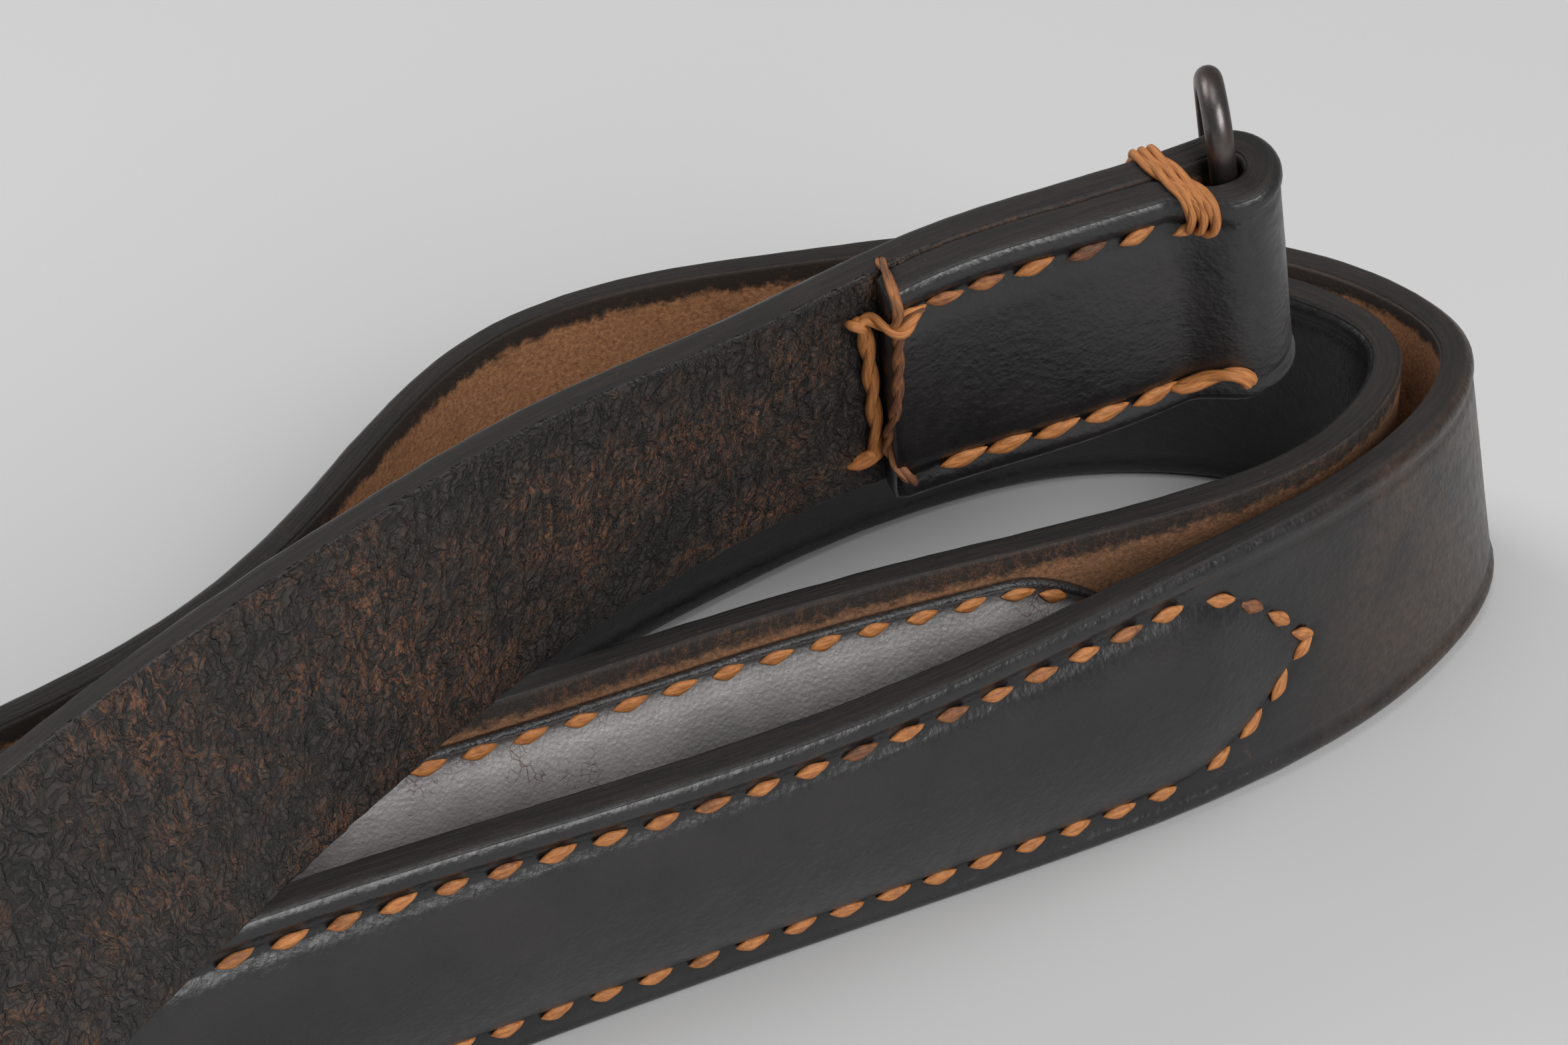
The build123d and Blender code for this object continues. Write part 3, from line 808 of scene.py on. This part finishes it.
def add_stitches(name, places, stands_for, body="strap"):
    """places: (centre, lengthwise, outward, length, width, grime) for each stitch, in one piece."""
    points, faces, strand, grime = [], [], [], []
    for number, (centre, lengthwise, outward, length, width, dirt) in enumerate(places):
        lengthwise = unit(lengthwise)
        across = unit(np.cross(outward, lengthwise))
        slant = rng.normal(0.12, 0.05)
        turned = lengthwise * math.cos(slant) + across * math.sin(slant)
        beside = across * math.cos(slant) - lengthwise * math.sin(slant)
        drawn_length = length * rng.uniform(0.93, 1.08)
        drawn_width = width * rng.uniform(0.92, 1.08)
        local = one_stitch(drawn_length, drawn_width, stitch_flatness * width)
        faces += tube_faces(stitch_rings, stitch_round, len(points) * len(local))
        points.append(centre + local[:, :1] * turned + local[:, 1:2] * beside + local[:, 2:] * outward)
        strand.append(local + np.array([number * 7.3, 0.0, 0.0]))
        grime.append(np.full(len(local), np.clip(dirt + rng.normal(0, 0.14), 0, 1)))
    piece = new_piece(name, np.vstack(points), faces, thread, body=body, stands_for=stands_for)
    give(piece, "strand_place", np.vstack(strand))
    give(piece, "grime", np.concatenate(grime))
    return piece


def on_strap(length, offset, height):
    """A point on the strap, with the directions along it, up it and to its flesh side."""
    foot, along, up, flesh = (a[0] for a in axes_at(length))
    return foot + flesh * offset + up * height, along, up, flesh


def pad_stitches(distances, sides):
    """Stitches of the pad on both faces, at distances from its first point."""
    places = []
    for distance in distances:
        d = np.array([distance])
        half = float(pad_row_half(d)[0])
        slope = float(pad_row_half(d + 0.5)[0] - pad_row_half(d - 0.5)[0])
        for side in sides:
            height = middle + side * half
            far_dirt = 0.42 if side > 0 else 0.22
            centre, along, up, flesh = on_strap(pad_start + distance, -half_leather + thread_seat, height)
            lengthwise = along + up * side * slope
            places.append((centre, lengthwise, -flesh, pad_stitch_length, pad_stitch_width, far_dirt))
            offset = half_leather + layer_gap + lining_thickness - 0.1
            centre, along, up, flesh = on_strap(pad_start + distance, offset, height)
            lengthwise = along + up * side * slope
            places.append((centre, lengthwise, flesh, pad_stitch_length, lining_stitch_width, 0.12))
    return places


straight_row = stitch_lengths("pad")
point_row = np.array([1.6, 4.3, 7.4, 10.8])
add_stitches("stitches_pad_upper", pad_stitches(straight_row, [1]), ["pad_stitching_upper"])
add_stitches("stitches_pad_lower", pad_stitches(straight_row, [-1]), ["pad_stitching_lower"])
for point_name, distances in (("first", point_row), ("last", pad_length - point_row)):
    add_stitches(
        f"stitches_pad_{point_name}_point", pad_stitches(distances, [1, -1]),
        [f"pad_stitching_{point_name}_point"],
    )


def end_stitches(end, side):
    """One row through strap and tail."""
    fold, way = ends[end]
    height = middle + side * (middle - stitch_inset)
    places = []
    row = stitch_lengths("end")
    if side < 0:
        row = row[1:-1]
    for distance in row:
        tail_face = float(tail_offset(np.array([distance]))[0]) + half_leather - 0.05
        dirt = (0.5 if side > 0 else 0.08) + 0.25 * math.sin(distance * 2.1) * (side > 0)
        size = tail_upper_stitch if side > 0 else tail_lower_stitch
        centre, along, up, flesh = on_strap(fold + way * distance, tail_face, height)
        places.append((centre, along * way, flesh, *size, dirt))
        centre, along, up, flesh = on_strap(fold + way * distance, -half_leather, height)
        places.append((centre, along * way, -flesh, *back_stitch, 0.35))
    return places


# ---- twisted cords of the cross bars and edge wraps -----------------------------------------------
def smooth_path(points, count):
    """Evenly spaced points on a smooth curve through given points."""
    points = np.asarray(points, float)
    padded = np.vstack([2 * points[0] - points[1], points, 2 * points[-1] - points[-2]])
    made = []
    for i in range(len(points) - 1):
        p0, p1, p2, p3 = padded[i:i + 4]
        for t in np.linspace(0, 1, 12, endpoint=False):
            made.append(0.5 * (2 * p1 + (p2 - p0) * t + (2 * p0 - 5 * p1 + 4 * p2 - p3) * t ** 2
                               + (3 * p1 - p0 - 3 * p2 + p3) * t ** 3))
    made.append(points[-1])
    made = np.array(made)
    far = np.concatenate([[0], np.cumsum(np.linalg.norm(np.diff(made, axis=0), axis=1))])
    even = np.linspace(0, far[-1], count)
    return np.stack([np.interp(even, far, made[:, k]) for k in range(3)], axis=1), even


def add_cords(name, cords, stands_for):
    """Each cord is a path, a radius and its grime: two plies twisted round each other."""
    points, faces, strand, grime, used = [], [], [], [], 0
    for number, (path, radius, dirt) in enumerate(cords):
        path_length = np.linalg.norm(np.diff(path, axis=0), axis=1).sum()
        line, far = smooth_path(path, max(12, int(4 * path_length)))
        tangent = unit(np.gradient(line, axis=0))
        side = unit(np.cross(tangent, np.array([0.3, 0.5, 0.8])))
        other = np.cross(tangent, side)
        taper = 0.45 + 0.55 * np.minimum(1, np.minimum(far, far[-1] - far) / (1.2 * radius))
        for ply in np.arange(ply_count) * 2 * math.pi / ply_count:
            turn = ply + far / (radius * 13) * 2 * math.pi
            centre = line + (side * np.cos(turn)[:, None] + other * np.sin(turn)[:, None]) * radius * 0.4
            angles = np.linspace(0, 2 * math.pi, ply_sides, endpoint=False)
            ring = side[:, None] * np.cos(angles)[None, :, None]
            ring = ring + other[:, None] * np.sin(angles)[None, :, None]
            grid = centre[:, None] + ring * (radius * 0.72 * taper)[:, None, None]
            faces += tube_faces(len(line), ply_sides, used)
            used += len(line) * ply_sides
            points.append(grid.reshape(-1, 3))
            local = np.stack([
                np.repeat(far, ply_sides) + number * 9 + ply,
                np.tile(np.cos(angles), len(line)), np.tile(np.sin(angles), len(line)),
            ], axis=1)
            strand.append(local)
            grime.append(np.full(len(local), dirt))
    piece = new_piece(name, np.vstack(points), faces, thread, stands_for=stands_for)
    give(piece, "strand_place", np.vstack(strand))
    give(piece, "grime", np.concatenate(grime))
    return piece


def near_face(end, distance, height, lift):
    """A point on the sewn face of an end: on the tail up to its cut edge, and past it on the strap."""
    fold, way = ends[end]
    tail_face = float(tail_offset(np.array([distance]))[0]) + half_leather
    share = float(ease(np.array((distance - tail_length + 0.2) / 1.4)))
    offset = tail_face * (1 - share) + half_leather * share + lift
    return on_strap(fold + way * distance, offset, height)[0]


def cross_bar(end):
    """Two strands down the tail's cut edge, tied in at both stitch rows."""
    top, low = bar_top, bar_low
    left = [(3.6, top - 1.2, -0.2), (3.1, top - 0.7, 0.6), (2.3, top - 1.6, 0.7), (1.9, top - 4.5, 0.65),
            (1.5, middle, 0.6), (1.2, 6.0, 0.6), (1.7, low + 1.4, 0.6), (3.6, low + 0.2, -0.3)]
    right = [(-3.6, top + 0.4, 0.1), (-1.2, top, 0.6), (-0.2, top - 0.9, 0.6), (-0.1, top - 4, 0.5),
             (0.1, middle, 0.45), (0.6, 6.4, 0.6), (-0.4, low + 0.8, 0.5), (-1.5, low - 0.9, -0.1)]
    tie = [(3.3, top - 1.0, 0.7), (1.8, top - 0.3, 1.0), (-0.2, top, 0.95), (-3.0, top + 0.4, 0.3)]
    cords = []
    for marks, radius, dirt in ((left, 0.66, 0.1), (right, 0.48, 0.66), (tie, 0.52, 0.05)):
        path = [near_face(end, tail_length + past, height, lift) for past, height, lift in marks]
        cords.append((np.array(path), radius, dirt))
    fold, way = ends[end]
    crossing = ((0.2, top - 0.6), (-0.4, top + 2))
    over = [near_face(end, tail_length + past, height, 0.5) for past, height in crossing]
    for past, offset, height in ((-0.6, half_leather + 0.9, 0.35), (-0.9, half_leather - 1.2, -0.2)):
        over.append(on_strap(fold + way * (tail_length + past), offset, strap_width + height)[0])
    cords.append((np.array(over), 0.42, 0.6))
    return cords


def edge_wrap(end):
    """Strands over the strap's upper edge, from stitch row to stitch row."""
    fold, way = ends[end]
    cords = []
    for number, place in enumerate((3.3, 4.0, 4.7)):
        near = float(tail_offset(np.array([place]))[0]) + half_leather
        far = -half_leather
        top = strap_width
        marks = [
            (place + 0.6 - 0.4 * number, near - 0.3, top - 3.7), (place, near + 0.40, top - 2.6),
            (place - 0.1, near + 0.32, top - 0.8), (place, near - 0.6, top + 0.34),
            (place + 0.5, (near + far) / 2, top + 0.36), (place + 1.0, far + 0.7, top + 0.32),
            (place + 1.1, far - 0.35, top - 0.7), (place + 1.2, far - 0.4, top - 2.4),
            (place + 1.2 - 0.4 * number, far + 0.2, top - 3.6),
        ]
        path = [on_strap(fold + way * d, offset, h)[0] for d, offset, h in marks]
        cords.append((np.array(path), 0.5, 0.05 + 0.1 * number))
    return cords


def tail_hook(end):
    """The heavy start of the lower row: the thread's end, hooked down beside the fold."""
    marks = [(7.4, stitch_inset, -0.1), (6.2, stitch_inset + 0.2, 0.45), (4.6, stitch_inset + 0.9, 0.5),
             (3.3, stitch_inset + 1.5, 0.45), (2.5, stitch_inset + 1.2, 0.4), (2.0, stitch_inset + 0.3, 0.4),
             (2.2, stitch_inset - 0.6, -0.1)]
    return [(np.array([near_face(end, *mark) for mark in marks]), 0.66, 0.05)]


for end in ends:
    add_stitches(f"stitches_end_{end}_upper", end_stitches(end, 1), [f"end_{end}_stitching_upper"])
    add_stitches(f"stitches_end_{end}_lower", end_stitches(end, -1), [f"end_{end}_stitching_lower"])
    add_cords(f"cross_bar_{end}_thread", cross_bar(end), [f"end_{end}_cross_bar"])
    add_cords(f"edge_wrap_{end}_thread", edge_wrap(end), [f"end_{end}_edge_wrap"])
    add_cords(f"tail_hook_{end}_thread", tail_hook(end), [])

# ---- rings --------------------------------------------------------------------------------------
wire = ring_finish()
for node in ("ring_a", "ring_b"):
    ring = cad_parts[node]
    ring.data.materials.clear()
    ring.data.materials.append(wire)
    ring.data.shade_smooth()


# ---- floor, light and camera --------------------------------------------------------------------
floor_mesh = bpy.data.meshes.new("floor")
floor_corners = [(floor_reach * x, floor_reach * y, 0) for x, y in ((-1, -1), (1, -1), (1, 1), (-1, 1))]
floor_mesh.from_pydata(floor_corners, [], [(0, 1, 2, 3)])
floor_mesh.materials.append(floor_finish())
floor = bpy.data.objects.new("floor", floor_mesh)
bpy.context.scene.collection.objects.link(floor)


def add_light(name, place, target, size, power, color):
    light = bpy.data.lights.new(name, "AREA")
    light.shape = "SQUARE"
    light.size = size
    light.energy = power
    light.color = color
    lamp = bpy.data.objects.new(name, light)
    lamp.location = place
    lamp.rotation_euler = (Vector(target) - Vector(place)).to_track_quat("-Z", "Y").to_euler()
    bpy.context.scene.collection.objects.link(lamp)


strap_middle = (0.03, 0.0, 0.02)
add_light("key_softbox", (-0.50, 0.85, 0.75), strap_middle, 0.6, 6.5, (1.0, 0.99, 0.98))
add_light("front_softbox", (0.2, -1.0, 0.86), strap_middle, 0.8, 15.0, (1.0, 0.995, 0.99))
add_light("top_softbox", (-0.1, 0.1, 1.2), strap_middle, 0.7, 3.5, (1.0, 1.0, 1.0))

world = bpy.data.worlds.new("pale_room")
bpy.context.scene.world = world
world.use_nodes = True
world.node_tree.nodes["Background"].inputs["Color"].default_value = (0.86, 0.87, 0.88, 1.0)
world.node_tree.nodes["Background"].inputs["Strength"].default_value = 0.26

camera_data = bpy.data.cameras.new("camera")
camera_data.sensor_width = 36.0
camera_data.lens = 84.15
camera = bpy.data.objects.new("camera", camera_data)
look_at = Vector((0.0554, 0.0181, 0.0127))
elevation = math.radians(38.0)
turn = math.radians(-25.0)
level = math.cos(elevation)
forward = Vector((-math.sin(turn) * level, math.cos(turn) * level, -math.sin(elevation)))
camera.location = look_at - forward * camera_distance
camera.rotation_euler = forward.to_track_quat("-Z", "Y").to_euler()
bpy.context.scene.collection.objects.link(camera)
bpy.context.scene.camera = camera
bpy.context.scene.view_settings.view_transform = "Standard"
